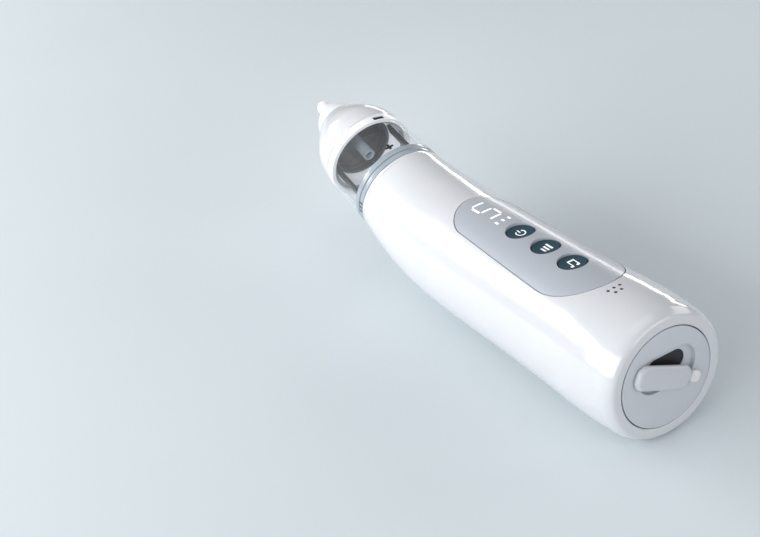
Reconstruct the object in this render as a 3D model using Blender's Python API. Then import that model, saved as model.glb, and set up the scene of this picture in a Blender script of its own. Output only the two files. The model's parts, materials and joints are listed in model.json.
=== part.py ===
"""Hand-held electric nasal aspirator: handle, clear cup, cone and soft tip, with its insides.

The tool lies on its back with its button panel up and its nose towards +Y. Stations are
distances along the centre line from the butt face. Sizes below are in millimetres, and MM
turns them into Blender's metres when a mesh or a place is made.
"""
import math

import bmesh
import bpy
from mathutils import Matrix, Vector

MM = 0.001
GAP = 0.3

# Handle: straight from the butt, then bent towards the panel side, then straight to the tip.
BUTT_Y = -91.77
AXIS_HEIGHT = 19.75
BEND_START = 92.0
BEND_END = 128.0
BEND_ANGLE = math.radians(17.0)
BEND_RADIUS = (BEND_END - BEND_START) / BEND_ANGLE
SHELL_OUTLINE = [(5.0, 20.35), (10.0, 20.8), (20.0, 20.95), (30.0, 20.6), (50.0, 20.2), (90.0, 20.0),
                 (110.0, 19.2), (122.0, 18.1), (133.5, 16.75)]
BUTT_FACE_RADIUS = 17.8
SHELL_WALL = 2.2
BUTT_OPENING_RADIUS = 15.7
SIDES = 40

# Panel lens in the shell, seen from above: a straight-sided outline with two round ends.
PANEL_START = 21.8
PANEL_END = 91.2
PANEL_NOSE_HALF_WIDTH = 10.9
PANEL_BUTT_HALF_WIDTH = 12.7
PANEL_BUTT_ROUND = 17.0
LENS_THICKNESS = 1.1
LENS_LEDGE = 2.0

BUTTON_STATIONS = {"power": 64.0, "level": 51.5, "melody": 38.8}
BUTTON_RADIUS = 4.3
BUTTON_TRAVEL = 0.5
BUTTON_FLANGE_RADIUS = 5.2
SWITCH_TOP = 15.8
BUTTON_STEM_BOTTOM = SWITCH_TOP + BUTTON_TRAVEL + GAP
DISH_DEPTH = 0.35

SPEAKER_HOLES = [(-3.1, 19.0), (-1.1, 19.0), (0.9, 19.0), (-2.1, 17.0), (-0.1, 17.0)]
SPEAKER_HOLE_RADIUS = 0.55

BOARD_START = 27.0
BOARD_END = 91.0
BOARD_HALF_WIDTH = 8.8
BOARD_BOTTOM = 11.5
BOARD_TOP = 12.9
SCREW_PLACES = [(-7.0, 31.0), (7.0, 31.0), (-7.0, 68.5), (7.0, 68.5)]

# Butt end: a round cap with a stadium recess, a deep port well in it and a swivelling flap.
CAP_RADIUS = 15.4
CAP_THICKNESS = 2.6
RECESS_CENTRE = (0.2, 2.7)
RECESS_SIZE = (20.2, 11.6)
RECESS_DEPTH = 1.2
WELL_CENTRE = (0.6, 3.5)
WELL_SIZE = (13.2, 6.4)
WELL_FLOOR = 6.2
FLAP_PIVOT = (-7.6, 4.0)
FLAP_ANGLE = math.radians(-24.7)
FLAP_SIZE = (19.6, 7.4)
FLAP_FRONT = -2.1
FLAP_LEFT_REACH = 3.7

# Head: everything ahead of the neck, on one straight axis.
NECK_RING_RADIUS = 16.6
NECK_RING_BORE = 14.5
CUP_START = 138.4
CUP_RIM = 153.9
CUP_BASE_RADIUS = 16.5
CUP_RIM_RADIUS = 16.05
CUP_WALL = 1.4
SHELF_STATION = 160.4
SHELF_BORE = 11.2
PLUG_RADIUS = 10.9
PLUG_BORE = 10.1
PLUG_MOUTH = 160.2
PLUG_END = 168.0
TUBE_RADIUS = 2.1
TUBE_BORE = 1.4
TUBE_END = 155.5
TUBE_TIP_END = 178.0
LEG_RADIUS = 11.8
LEG_AZIMUTHS = [69.0, -111.0]
CONE_OUTLINE = [(157.5, 15.85), (161.0, 15.6), (165.0, 14.6), (168.6, 12.8), (172.2, 10.5), (174.6, 8.9)]
TIP_OUTLINE = [(174.9, 8.5), (176.5, 7.9), (178.5, 7.0), (180.5, 5.8), (182.5, 4.2), (184.6, 2.8)]
TIP_BALL_STATION = 186.2
TIP_BALL_RADIUS = 2.6

MATERIALS = {
    "white_plastic": ((0.83, 0.84, 0.86), 0.22, 0.0),
    "panel_lens": ((0.47, 0.50, 0.54), 0.20, 0.0),
    "button_teal": ((0.05, 0.10, 0.13), 0.35, 0.0),
    "cap_gray": ((0.62, 0.64, 0.67), 0.35, 0.0),
    "clear_plastic": ((0.90, 0.94, 0.96), 0.06, 0.0),
    "soft_white": ((0.88, 0.89, 0.90), 0.45, 0.0),
    "smoke_ring": ((0.36, 0.40, 0.44), 0.25, 0.0),
    "plug_gray": ((0.07, 0.10, 0.12), 0.35, 0.0),
    "tube_gray": ((0.33, 0.40, 0.45), 0.30, 0.0),
    "dark_plastic": ((0.04, 0.04, 0.05), 0.45, 0.0),
    "board_green": ((0.02, 0.18, 0.09), 0.40, 0.0),
    "frame_plastic": ((0.30, 0.31, 0.33), 0.50, 0.0),
    "steel": ((0.56, 0.57, 0.58), 0.30, 1.0),
    "battery_wrap": ((0.05, 0.16, 0.40), 0.35, 0.0),
    "rubber": ((0.05, 0.05, 0.05), 0.70, 0.0),
    "filter_felt": ((0.80, 0.80, 0.76), 0.90, 0.0),
}


def clear_scene():
    for item in list(bpy.data.objects):
        bpy.data.objects.remove(item, do_unlink=True)


def material(name):
    """The named Principled material, made on first use."""
    found = bpy.data.materials.get(name)
    if found:
        return found
    colour, roughness, metallic = MATERIALS[name]
    made = bpy.data.materials.new(name)
    made.use_nodes = True
    shader = made.node_tree.nodes["Principled BSDF"]
    shader.inputs["Base Color"].default_value = (*colour, 1.0)
    shader.inputs["Roughness"].default_value = roughness
    shader.inputs["Metallic"].default_value = metallic
    return made


def smooth_value(points, station):
    """A smooth curve through (station, value) points, read at one station."""
    last = len(points) - 1
    span = 0
    while span < last - 1 and station > points[span + 1][0]:
        span += 1

    def slope(index):
        before = points[max(index - 1, 0)]
        after = points[min(index + 1, last)]
        return (after[1] - before[1]) / (after[0] - before[0])

    start, end = points[span], points[span + 1]
    width = end[0] - start[0]
    t = (station - start[0]) / width
    return ((2 * t ** 3 - 3 * t ** 2 + 1) * start[1] + (t ** 3 - 2 * t ** 2 + t) * width * slope(span)
            + (3 * t ** 2 - 2 * t ** 3) * end[1] + (t ** 3 - t ** 2) * width * slope(span + 1))


def shell_radius(station):
    """Outer radius of the handle: a quarter ellipse at the butt, then a smooth outline."""
    fillet_end, fillet_radius = SHELL_OUTLINE[0]
    if station < fillet_end:
        rise = math.sqrt(1.0 - (1.0 - station / fillet_end) ** 2)
        return BUTT_FACE_RADIUS + (fillet_radius - BUTT_FACE_RADIUS) * rise
    return smooth_value(SHELL_OUTLINE, station)


def place(x, station, z):
    """World point, in metres, of a place beside the straight part of the centre line."""
    return Vector((x, BUTT_Y + station, AXIS_HEIGHT + z)) * MM


def axis_frame(station):
    """Frame on the centre line: Z along it to the nose, Y to the panel side, X to -X."""
    turn = min(max((station - BEND_START) / BEND_RADIUS, 0.0), BEND_ANGLE)
    along = min(station, BEND_START) + BEND_RADIUS * math.sin(turn)
    height = BEND_RADIUS * (1.0 - math.cos(turn))
    beyond = max(station - BEND_END, 0.0)
    origin = place(0.0, along + beyond * math.cos(turn), height + beyond * math.sin(turn))
    frame = Matrix(((-1.0, 0.0, 0.0), (0.0, -math.sin(turn), math.cos(turn)),
                    (0.0, math.cos(turn), math.sin(turn)))).to_4x4()
    frame.translation = origin
    return frame


def straight_frame(station):
    """Frame like axis_frame's that keeps to the handle's straight axis past the bend's start."""
    frame = axis_frame(0.0)
    frame.translation = place(0.0, station, 0.0)
    return frame


def finish(bm, name, material_name, frame):
    """Close a millimetre mesh's work: make its object at the frame, in metres."""
    bmesh.ops.recalc_face_normals(bm, faces=bm.faces)
    bmesh.ops.scale(bm, vec=(MM, MM, MM), verts=bm.verts)
    mesh = bpy.data.meshes.new(name)
    bm.to_mesh(mesh)
    bm.free()
    mesh.materials.append(material(material_name))
    mesh.shade_smooth()
    mesh.set_sharp_from_angle(angle=math.radians(35.0))
    made = bpy.data.objects.new(name, mesh)
    made.matrix_world = frame
    bpy.context.collection.objects.link(made)
    return made


def ring_mesh(rings):
    """Faces between rings of points that follow each other around a closed section."""
    bm = bmesh.new()
    loops = []
    for ring in rings:
        if len(ring) == 1:
            loops.append([bm.verts.new(ring[0])])
        else:
            loops.append([bm.verts.new(spot) for spot in ring])
    count = max(len(loop) for loop in loops)
    for lower, upper in zip(loops, loops[1:] + loops[:1]):
        for index in range(count):
            following = (index + 1) % count
            corners = [lower[index % len(lower)], lower[following % len(lower)],
                       upper[following % len(upper)], upper[index % len(upper)]]
            corners = list(dict.fromkeys(corners))
            if len(corners) > 2:
                bm.faces.new(corners)
    return bm


def circle(radius, height, sides, centre=(0.0, 0.0)):
    if radius == 0.0:
        return [Vector((centre[0], centre[1], height))]
    return [Vector((centre[0] + radius * math.cos(2 * math.pi * index / sides),
                    centre[1] + radius * math.sin(2 * math.pi * index / sides), height))
            for index in range(sides)]


def turned(name, outline, material_name, station=0.0, sides=SIDES, frame=None, centre=(0.0, 0.0)):
    """Turn a closed outline of (radius, station) points about the centre line at a station."""
    rings = [circle(radius, height - station, sides) for radius, height in outline]
    offset = Matrix.Translation(Vector((centre[0], centre[1], 0.0)) * MM)
    return finish(ring_mesh(rings), name, material_name, (frame or axis_frame(station)) @ offset)


def swept(name, outline, material_name, sides=SIDES):
    """Carry a closed outline of (radius, station) points along the bent centre line."""
    base = axis_frame(0.0)
    rings = []
    for radius, station in outline:
        local = base.inverted() @ axis_frame(station)
        local.translation /= MM
        rings.append([local @ spot for spot in circle(radius, 0.0, sides)])
    return finish(ring_mesh(rings), name, material_name, base)


def stadium(size, centre=(0.0, 0.0), arc=10):
    """Outline of a rectangle whose short sides are half circles, in the XY plane."""
    radius = size[1] / 2
    reach = size[0] / 2 - radius
    points = []
    for side, start in ((1.0, -90.0), (-1.0, 90.0)):
        for step in range(arc + 1):
            angle = math.radians(start + 180.0 * step / arc)
            points.append((centre[0] + side * reach + radius * math.cos(angle),
                           centre[1] + radius * math.sin(angle)))
    return points


def rounded_rectangle(size, corner, centre=(0.0, 0.0), arc=5):
    points = []
    for index, (sign_x, sign_y) in enumerate(((1, 1), (-1, 1), (-1, -1), (1, -1))):
        for step in range(arc + 1):
            angle = math.radians(90.0 * (index + step / arc))
            points.append((centre[0] + sign_x * (size[0] / 2 - corner) + corner * math.cos(angle),
                           centre[1] + sign_y * (size[1] / 2 - corner) + corner * math.sin(angle)))
    return points


def prism(name, outline, low, high, material_name, frame, soften=0.0):
    """A flat outline raised from low to high along the frame's Z."""
    heights = [(low, 0.0), (high, 0.0)]
    if soften:
        heights = [(low, 0.0), (high - soften, 0.0), (high - soften * 0.3, soften * 0.3), (high, soften)]
    middle = Vector((sum(x for x, y in outline), sum(y for x, y in outline))) / len(outline)
    rings = []
    for height, inset in heights:
        ring = []
        for x, y in outline:
            arm = Vector((x, y)) - middle
            spot = middle + arm * (1.0 - inset / arm.length)
            ring.append(Vector((spot.x, spot.y, height)))
        rings.append(ring)
    bottom = [Vector((middle.x, middle.y, low))]
    top = [Vector((middle.x, middle.y, high))]
    return finish(ring_mesh([bottom, *rings, top]), name, material_name, frame)


def block(name, low, high, material_name):
    """A box from one corner to the other: x, station, z beside the straight centre line."""
    centre = [(a + b) / 2 for a, b in zip(low, high)]
    bm = bmesh.new()
    bmesh.ops.create_cube(bm, size=1.0)
    bmesh.ops.scale(bm, vec=[b - a for a, b in zip(low, high)], verts=bm.verts)
    return finish(bm, name, material_name, Matrix.Translation(place(*centre)))


def upright(x, station, z=0.0):
    """Frame with Z straight up from a place beside the centre line."""
    return Matrix.Translation(place(x, station, z))


def butt_frame():
    """Frame on the butt face: X to the right and Y up as seen from behind, Z into the handle."""
    frame = Matrix(((1.0, 0.0, 0.0), (0.0, 0.0, 1.0), (0.0, 1.0, 0.0))).to_4x4()
    frame.translation = place(0.0, 0.0, 0.0)
    return frame


def combine(target, tool, operation):
    """Apply one exact Boolean to the target and keep the tool out of the build."""
    modifier = target.modifiers.new(operation.lower(), "BOOLEAN")
    modifier.operation = operation
    modifier.solver = "EXACT"
    modifier.object = tool
    bpy.context.view_layer.update()
    graph = bpy.context.evaluated_depsgraph_get()
    result = bpy.data.meshes.new_from_object(target.evaluated_get(graph))
    target.modifiers.clear()
    target.data = result
    result.shade_smooth()
    result.set_sharp_from_angle(angle=math.radians(35.0))
    bpy.data.objects.remove(tool, do_unlink=True)


def cut(target, tool):
    combine(target, tool, "DIFFERENCE")


def join(target, tool):
    combine(target, tool, "UNION")


def common(target, tool):
    combine(target, tool, "INTERSECT")


def ride_on(child, parent):
    """Parent a piece without moving it."""
    bpy.context.view_layer.update()
    kept = child.matrix_world.copy()
    child.parent = parent
    child.matrix_parent_inverse = parent.matrix_world.inverted()
    child.matrix_world = kept


def panel_outline(margin):
    """The panel's outline seen from above as (x, station), grown by a margin."""
    nose_radius = PANEL_NOSE_HALF_WIDTH
    butt_half = PANEL_BUTT_HALF_WIDTH
    points = []
    for step in range(17):
        angle = math.pi * step / 16
        points.append((math.cos(angle) * (nose_radius + margin),
                       PANEL_END - nose_radius + math.sin(angle) * (nose_radius + margin)))
    for step in range(17):
        angle = math.pi + math.pi * step / 16
        points.append((math.cos(angle) * (butt_half + margin),
                       PANEL_START + PANEL_BUTT_ROUND + math.sin(angle) * (PANEL_BUTT_ROUND + margin)))
    return points


def panel_prism(margin):
    return prism("panel_cutter", panel_outline(margin), 9.0, 24.0, "panel_lens", upright(0.0, 0.0))


def panel_band(name, inner_drop, outer_rise):
    """A tube that follows the shell's outside over the panel, to be trimmed to an outline."""
    stations = [15.0 + 10.0 * step for step in range(9)]
    outer = [(shell_radius(station) + outer_rise, station) for station in stations]
    inner = [(shell_radius(station) - inner_drop, station) for station in reversed(stations)]
    return swept(name, outer + inner, "panel_lens")


def make_shell():
    outer_stations = [0.0, 0.25, 0.9, 2.0, 3.4] + [5.0 + 10.0 * step for step in range(9)]
    outer_stations += [90.0 + 4.35 * step for step in range(0, 11)]
    outer = [(shell_radius(station), station) for station in outer_stations]
    inner_stations = [90.0 + 4.35 * step for step in range(10, 0, -2)] + [86.0, 56.0, 26.0, 8.0]
    inner = [(shell_radius(station) - SHELL_WALL, station) for station in inner_stations]
    rim = [(BUTT_OPENING_RADIUS, 4.0), (BUTT_OPENING_RADIUS, 0.0)]
    shell = swept("body_shell", outer + inner + rim, "white_plastic")
    pocket = panel_band("pocket_cutter", LENS_THICKNESS + GAP, 1.0)
    common(pocket, panel_prism(GAP))
    cut(shell, pocket)
    cut(shell, panel_prism(-LENS_LEDGE))
    for x, station in SPEAKER_HOLES:
        cut(shell, turned("hole", [(0.0, 10.0), (SPEAKER_HOLE_RADIUS, 10.0),
                                   (SPEAKER_HOLE_RADIUS, 24.0), (0.0, 24.0)],
                          "dark_plastic", sides=8, frame=upright(x, station)))
    land = block("land_cutter", (-15.0, -5.0, -30.0), (15.0, 150.0, -AXIS_HEIGHT), "white_plastic")
    cut(shell, land)
    return shell


def make_lens():
    lens = panel_band("panel_lens", LENS_THICKNESS, 0.0)
    common(lens, panel_prism(0.0))
    for station in BUTTON_STATIONS.values():
        radius = BUTTON_RADIUS + GAP
        cut(lens, turned("hole", [(0.0, 10.0), (radius, 10.0), (radius, 24.0), (0.0, 24.0)],
                         "dark_plastic", sides=24, frame=upright(0.0, station)))
    return lens


def make_buttons():
    for name, station in BUTTON_STATIONS.items():
        radius = shell_radius(station)
        rim = math.sqrt(radius ** 2 - BUTTON_RADIUS ** 2) - 0.2
        under_lens = math.sqrt((radius - LENS_THICKNESS) ** 2 - BUTTON_FLANGE_RADIUS ** 2) - GAP
        outline = [(0.0, BUTTON_STEM_BOTTOM), (1.4, BUTTON_STEM_BOTTOM), (1.4, under_lens - 0.9),
                   (BUTTON_FLANGE_RADIUS, under_lens - 0.9), (BUTTON_FLANGE_RADIUS, under_lens - 0.1),
                   (BUTTON_RADIUS, under_lens - 0.1), (BUTTON_RADIUS, rim - 0.25),
                   (BUTTON_RADIUS - 0.25, rim), (2.4, rim - DISH_DEPTH * 0.7), (0.0, rim - DISH_DEPTH)]
        button = turned("button_" + name, [(r, z - rim) for r, z in outline], "button_teal",
                        sides=24, frame=upright(0.0, station, rim))
        button.data.set_sharp_from_angle(angle=math.radians(30.0))


def make_electronics():
    board = block("main_board", (-BOARD_HALF_WIDTH, BOARD_START, BOARD_BOTTOM),
                  (BOARD_HALF_WIDTH, BOARD_END, BOARD_TOP), "board_green")
    for number, (x, station) in enumerate(SCREW_PLACES, 1):
        cut(board, turned("hole", [(0.0, 10.0), (1.3, 10.0), (1.3, 14.0), (0.0, 14.0)],
                          "board_green", sides=12, frame=upright(x, station)))
        outline = [(0.0, 7.5), (1.0, 7.5), (1.0, BOARD_TOP + GAP), (1.9, BOARD_TOP + GAP),
                   (1.9, BOARD_TOP + 1.1), (1.3, BOARD_TOP + 1.5), (0.0, BOARD_TOP + 1.5)]
        turned(f"board_screw_{number}", outline, "steel", sides=12, frame=upright(x, station))
    seat = BOARD_TOP + GAP
    for number, station in enumerate(BUTTON_STATIONS.values(), 1):
        switch = block(f"tact_switch_{number}", (-2.6, station - 2.6, seat), (2.6, station + 2.6, 15.0),
                       "dark_plastic")
        join(switch, turned("plunger", [(0.0, 14.0), (1.2, 14.0), (1.2, SWITCH_TOP), (0.0, SWITCH_TOP)],
                            "dark_plastic", sides=12, frame=upright(0.0, station)))
    block("display_module", (-5.5, 71.2, seat), (5.5, 87.0, 17.2), "dark_plastic")
    speaker = [(0.0, 13.0), (4.0, 13.0), (4.0, 14.0), (6.0, 14.0), (6.0, 16.2), (4.6, 16.2),
               (4.2, 15.7), (0.0, 15.9)]
    turned("speaker", speaker, "dark_plastic", sides=20, frame=upright(0.0, 18.2))
    block("charge_board", (-8.0, 7.9, 0.3), (8.0, 21.5, 1.5), "board_green")


def make_power_train():
    """Battery, motor with its turning shaft and eccentric, and the pump that it drives."""
    cell = [(0.0, 23.5), (6.6, 23.5), (7.0, 23.9), (7.0, 72.0), (6.4, 72.4), (6.4, 72.8), (2.6, 72.8),
            (2.6, 73.8), (0.0, 73.8)]
    turned("battery_cell", [(r, s - 23.5) for r, s in cell], "battery_wrap", sides=20,
           frame=axis_frame(23.5), centre=(0.0, -8.2))
    can = [(0.0, 76.0), (3.0, 76.0), (3.0, 77.2), (9.4, 77.2), (10.0, 77.8), (10.0, 96.4), (9.4, 97.0),
           (3.0, 97.0), (3.0, 98.2), (1.3, 98.2), (1.3, 93.0), (0.0, 93.0)]
    turned("motor_can", can, "steel", station=76.0, sides=20)
    shaft = turned("motor_shaft", [(0.0, 0.0), (0.95, 0.0), (0.95, 9.6), (0.0, 9.6)], "steel",
                   sides=16, frame=straight_frame(93.4))
    ride_on(make_eccentric(), shaft)
    straight = straight_frame(99.4)
    body = [(8.6, 99.4), (11.5, 99.4), (11.5, 111.0), (0.0, 111.0), (0.0, 108.6), (8.6, 108.6)]
    turned("pump_housing", [(r, s - 99.4) for r, s in body], "frame_plastic", sides=24, frame=straight)
    head = [(0.0, 111.3), (11.0, 111.3), (11.0, 114.3), (9.6, 115.3), (0.0, 115.3)]
    pump_head = turned("pump_head", [(r, s - 99.4) for r, s in head], "dark_plastic", sides=24,
                       frame=straight)
    for x, y in ((0.0, 4.5), (-5.0, -3.0)):
        nipple = [(0.0, 115.0), (1.6, 115.0), (1.6, 119.0), (1.2, 119.6), (0.0, 119.6)]
        join(pump_head, turned("nipple", [(r, s - 99.4) for r, s in nipple], "dark_plastic", sides=12,
                               frame=straight, centre=(x, y)))


def make_eccentric():
    """The offset hub on the motor shaft that drives the pump, bored to the shaft."""
    frame = straight_frame(101.0)
    rings = [circle(4.2, 0.0, 24, (1.4, 0.0)), circle(4.2, 4.2, 24, (1.4, 0.0)),
             circle(0.0, 4.2, 24, (1.4, 0.0)), circle(0.0, 0.0, 24, (1.4, 0.0))]
    hub = finish(ring_mesh(rings), "eccentric_hub", "frame_plastic", frame)
    cut(hub, turned("bore", [(0.0, -1.0), (1.0, -1.0), (1.0, 2.4), (0.0, 2.4)], "frame_plastic",
                    sides=16, frame=frame))
    return hub


def make_chassis():
    """The inner frame: a plate over the battery with posts that carry the main board."""
    chassis = block("chassis_frame", (-13.0, 26.0, -0.6), (13.0, 74.0, 1.2), "frame_plastic")
    for x, station in SCREW_PLACES:
        join(chassis, turned("post", [(0.0, 0.5), (2.4, 0.5), (2.2, BOARD_BOTTOM - GAP),
                                      (0.0, BOARD_BOTTOM - GAP)],
                             "frame_plastic", sides=12, frame=upright(x, station)))
        cut(chassis, turned("bore", [(0.0, 7.0), (1.3, 7.0), (1.3, 14.0), (0.0, 14.0)],
                            "frame_plastic", sides=12, frame=upright(x, station)))


def make_end_cap():
    frame = butt_frame()
    skirt = [(0.0, 0.0), (CAP_RADIUS, 0.0), (CAP_RADIUS, CAP_THICKNESS), (15.2, CAP_THICKNESS),
             (15.2, 6.6), (13.8, 6.6), (13.8, CAP_THICKNESS), (0.0, CAP_THICKNESS)]
    cap = turned("end_cap", skirt, "cap_gray")
    join(cap, prism("well_wall", rounded_rectangle((17.2, 10.0), 2.0, WELL_CENTRE), 1.8, 7.2,
                    "cap_gray", frame))
    cut(cap, prism("recess", stadium(RECESS_SIZE, RECESS_CENTRE), -1.0, RECESS_DEPTH, "cap_gray", frame))
    cut(cap, prism("well", stadium(WELL_SIZE, WELL_CENTRE), -1.0, WELL_FLOOR, "cap_gray", frame))
    cut(cap, prism("socket", stadium((9.6, 3.9), WELL_CENTRE), 5.0, 8.0, "cap_gray", frame))
    receptacle = prism("usb_receptacle", stadium((8.94, 3.26), WELL_CENTRE, 8), 6.5, 13.8, "steel", frame)
    cut(receptacle, prism("inside", stadium((8.34, 2.66), WELL_CENTRE, 8), 5.0, 13.2, "steel", frame))
    prism("usb_tongue", rounded_rectangle((6.6, 0.7), 0.2, WELL_CENTRE, 2), 7.2, 12.8, "dark_plastic",
          frame)
    turned("flap_pin", [(0.0, -1.0), (0.9, -1.0), (0.9, RECESS_DEPTH - GAP),
                        (0.0, RECESS_DEPTH - GAP)],
           "frame_plastic", sides=16, centre=(-FLAP_PIVOT[0], FLAP_PIVOT[1]))


def make_flap():
    """The soft port flap, swung half open about the pin at its left end, with its pull tab."""
    turn = Matrix.Rotation(-FLAP_ANGLE, 4, "Z")
    pivot = butt_frame() @ Matrix.Translation(Vector((*FLAP_PIVOT, 0.0)) * MM)
    facing_out = Matrix.Rotation(math.pi, 4, "X")
    frame = pivot @ facing_out @ turn
    middle = FLAP_SIZE[0] / 2 - FLAP_LEFT_REACH
    flap = prism("port_flap", rounded_rectangle(FLAP_SIZE, 2.6, (middle, 0.0)), GAP, -FLAP_FRONT,
                 "cap_gray", frame, soften=0.7)
    cut(flap, turned("blind_hole", [(0.0, 0.0), (1.2, 0.0), (1.2, 1.3), (0.0, 1.3)], "cap_gray",
                     sides=16, frame=frame))
    tab_low = FLAP_SIZE[0] - FLAP_LEFT_REACH + GAP
    tab_outline = rounded_rectangle((3.6, 3.5), 1.3, (tab_low + 1.8, 0.2))
    tab = prism("flap_tab", tab_outline, GAP, 1.5, "soft_white", frame, soften=0.4)
    ride_on(tab, flap)


def make_neck():
    """Bulkhead and sleeve, its filter, and the two rings that the cup seats on."""
    sleeve = [(0.0, 129.4), (14.3, 129.4), (14.1, 137.8), (13.0, 137.8), (13.0, 131.0), (0.0, 131.0)]
    bulkhead = turned("neck_bulkhead", sleeve, "frame_plastic", station=129.4)
    frame = axis_frame(129.4)
    join(bulkhead, turned("barb", [(0.0, -3.4), (1.8, -3.4), (2.2, -2.6), (2.2, 0.6), (0.0, 0.6)],
                          "frame_plastic", sides=16, frame=frame, centre=(0.0, 7.0)))
    cut(bulkhead, turned("bore", [(0.0, -5.0), (1.1, -5.0), (1.1, 4.0), (0.0, 4.0)],
                         "frame_plastic", sides=16, frame=frame, centre=(0.0, 7.0)))
    disc = [(0.0, 131.3), (5.0, 131.3), (5.0, 132.8), (0.0, 132.8)]
    turned("air_filter", [(r, s - 131.3) for r, s in disc], "filter_felt", sides=24,
           frame=axis_frame(131.3), centre=(0.0, 7.0))
    seal = [(NECK_RING_BORE, 133.8), (NECK_RING_RADIUS, 133.8), (NECK_RING_RADIUS, 135.4),
            (NECK_RING_RADIUS - 0.3, 135.7), (NECK_RING_BORE, 135.7)]
    turned("neck_seal", seal, "smoke_ring", station=133.8)
    collar = [(NECK_RING_BORE, 136.0), (NECK_RING_RADIUS - 0.3, 136.0), (NECK_RING_RADIUS, 136.3),
              (NECK_RING_RADIUS - 0.05, 138.1), (NECK_RING_BORE, 138.1)]
    return turned("lock_collar", collar, "smoke_ring", station=136.0)


def make_hose():
    """The suction hose from the pump head to the bulkhead's barb."""
    start = place(0.0, 120.1, 4.5)
    end_frame = axis_frame(129.4)
    end = end_frame @ (Vector((0.0, 7.0, -4.3)) * MM)
    curve = bpy.data.curves.new("suction_hose", "CURVE")
    curve.dimensions = "3D"
    curve.bevel_depth = 1.9 * MM
    curve.bevel_resolution = 2
    curve.use_fill_caps = True
    spline = curve.splines.new("POLY")
    steps = 8
    spline.points.add(steps)
    ahead = Vector((0.0, 1.0, 0.0))
    along = end_frame.to_3x3() @ Vector((0.0, 0.0, 1.0))
    reach = (end - start).length
    for step in range(steps + 1):
        t = step / steps
        spot = ((2 * t ** 3 - 3 * t ** 2 + 1) * start + (t ** 3 - 2 * t ** 2 + t) * ahead * reach
                + (3 * t ** 2 - 2 * t ** 3) * end + (t ** 3 - t ** 2) * along * reach)
        spline.points[step].co = (*spot, 1.0)
    curve.materials.append(material("rubber"))
    bpy.context.collection.objects.link(bpy.data.objects.new("suction_hose", curve))


def make_cup():
    wall_at_floor = CUP_BASE_RADIUS - CUP_WALL
    outline = [(2.2, CUP_START), (11.4, CUP_START), (11.4, 134.8), (12.6, 134.8), (12.6, CUP_START),
               (CUP_BASE_RADIUS, CUP_START), (CUP_BASE_RADIUS - 0.15, 144.0), (CUP_RIM_RADIUS + 0.1, 150.0),
               (CUP_RIM_RADIUS, CUP_RIM), (CUP_RIM_RADIUS - CUP_WALL, CUP_RIM),
               (wall_at_floor - 0.2, 144.0), (wall_at_floor - 1.2, CUP_START + CUP_WALL),
               (2.2, CUP_START + CUP_WALL)]
    cup = turned("collecting_cup", outline, "clear_plastic", station=CUP_START)
    valve = [(0.0, 137.0), (1.8, 137.0), (1.8, 140.1), (4.2, 140.1), (3.6, 140.9), (0.0, 141.2)]
    check_valve = turned("check_valve", valve, "soft_white", station=137.0, sides=24)
    ride_on(check_valve, cup)
    return cup


def make_cone():
    """The cone with everything that comes off with it: lip ring, plug, legs and suction tube."""
    inner = [(radius - 1.5, station) for station, radius in CONE_OUTLINE]
    inner[-1] = (3.9, 173.3)
    inner[-2] = (8.9, 171.6)
    outline = [(radius, station) for station, radius in CONE_OUTLINE]
    cone = turned("nozzle_cone", outline + [(3.9, 174.6)] + inner[::-1], "white_plastic",
                  station=CONE_OUTLINE[0][0])
    shelf_top = SHELF_STATION + 1.0
    ring_outline = [(14.5, 154.2), (16.05, 154.2), (15.9, 157.2), (14.0, 157.2), (14.0, shelf_top),
                    (SHELF_BORE, shelf_top), (SHELF_BORE, SHELF_STATION), (13.1, SHELF_STATION),
                    (13.1, 156.2), (14.5, 156.2)]
    ring = turned("cone_ring", ring_outline, "white_plastic", station=154.2)
    flange = shelf_top + GAP
    plug_outline = [(PLUG_BORE, PLUG_MOUTH), (PLUG_RADIUS, PLUG_MOUTH), (PLUG_RADIUS, flange),
                    (13.2, flange), (13.2, flange + 1.0), (PLUG_RADIUS, flange + 1.0),
                    (PLUG_RADIUS, PLUG_END), (TUBE_RADIUS + GAP, PLUG_END),
                    (TUBE_RADIUS + GAP, PLUG_END - 1.2), (PLUG_BORE, PLUG_END - 1.2)]
    plug = turned("cone_plug", plug_outline, "plug_gray", station=PLUG_MOUTH)
    tube_outline = [(TUBE_BORE, TUBE_END), (TUBE_RADIUS, TUBE_END), (TUBE_RADIUS, TUBE_TIP_END),
                    (TUBE_BORE, TUBE_TIP_END)]
    tube = turned("suction_tube", tube_outline, "tube_gray", station=TUBE_END, sides=20)
    legs = []
    for number, azimuth in enumerate(LEG_AZIMUTHS, 1):
        turn = Matrix.Rotation(math.radians(azimuth), 4, "Z")
        outline = rounded_rectangle((4.4, 1.3), 0.3, (0.0, LEG_RADIUS), 2)
        legs.append(prism(f"cone_leg_{number}", outline, 140.4 - SHELF_STATION, -GAP, "plug_gray",
                          axis_frame(SHELF_STATION) @ turn))
    for piece in [ring, plug, tube, *legs]:
        ride_on(piece, cone)
    return cone


def make_tip():
    """The soft tip: a bell foot on the cone, a short neck and a ball end, bored through."""
    outline = [(radius, station) for station, radius in TIP_OUTLINE]
    for step in range(1, 7):
        angle = math.radians(-30.0 + 92.0 * step / 6)
        outline.append((TIP_BALL_RADIUS * math.cos(angle), TIP_BALL_STATION + TIP_BALL_RADIUS * math.sin(angle)))
    outline += [(1.0, outline[-1][1]), (1.0, 178.6), (2.4, 178.3), (2.4, 173.6), (3.6, 173.6),
                (3.6, TIP_OUTLINE[0][0])]
    return turned("nozzle_tip", outline, "soft_white", station=TIP_OUTLINE[0][0], sides=24)


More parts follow.
